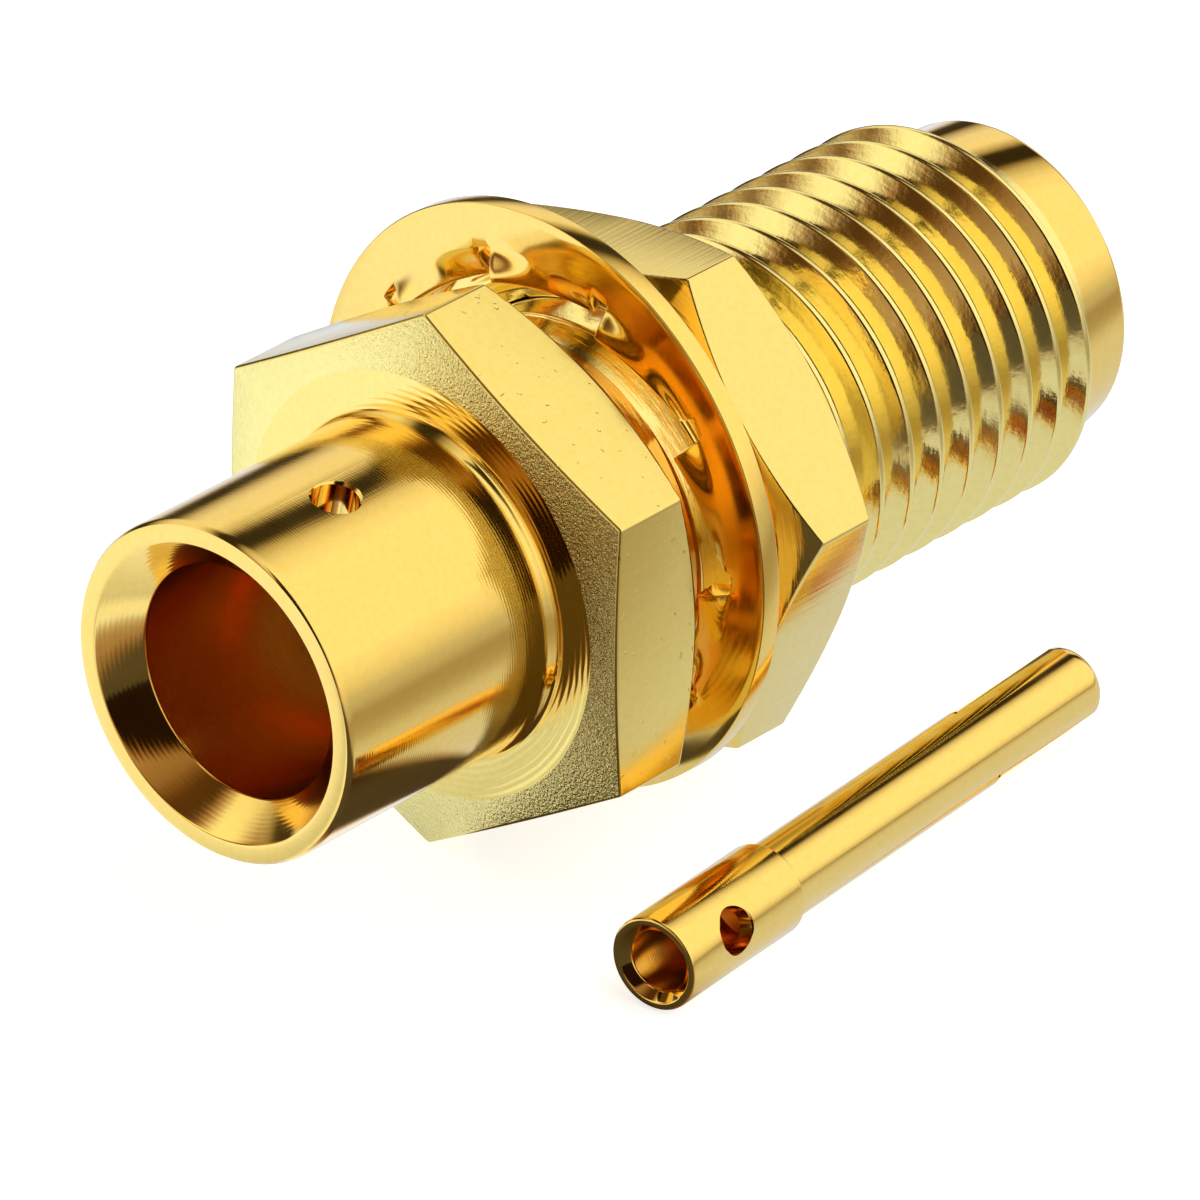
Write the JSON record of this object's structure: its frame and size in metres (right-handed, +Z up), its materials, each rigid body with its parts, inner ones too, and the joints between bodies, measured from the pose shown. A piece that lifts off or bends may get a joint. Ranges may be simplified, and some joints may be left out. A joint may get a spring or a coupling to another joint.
{
  "type": "sma connector",
  "caption": "Panel-mounting threaded coaxial jack with a solder ferrule for semi-rigid cable, a hexagonal flange, toothed lock washer, thin panel nut and a loose solder-cup centre contact.",
  "frame": {"origin": "on the jack's axis, in the plane of the hexagon's rear face, which seats on the panel", "axes": "+X along the jack's axis towards the mating nose, +Z up as the jack lies, with a corner of the hexagon straight up"},
  "size_m": [0.0182, 0.0117, 0.0096],
  "materials": {
    "gold": "polished gold plate over brass",
    "ptfe": "waxy white"
  },
  "bodies": {
    "jack": {"connector_body": "gold", "insulator": "ptfe", "centre_contact": "gold"},
    "washer": {"lock_washer": "gold"},
    "nut": {"panel_nut": "gold"}
  },
  "joints": [
    {"name": "washer_slide", "type": "slide", "parent": "jack", "child": "washer", "axis": [1, 0, 0], "range_m": [-0.0006, 0.0079]},
    {"name": "nut_turn", "type": "hinge", "parent": "washer", "child": "nut", "pos_m": [0, 0, 0], "axis": [1, 0, 0], "range_deg": [-310, 4035]}
  ],
  "couplings": [
    {"joint": "nut_turn", "follows": "washer_slide", "rad_per_m": 8905.3}
  ]
}
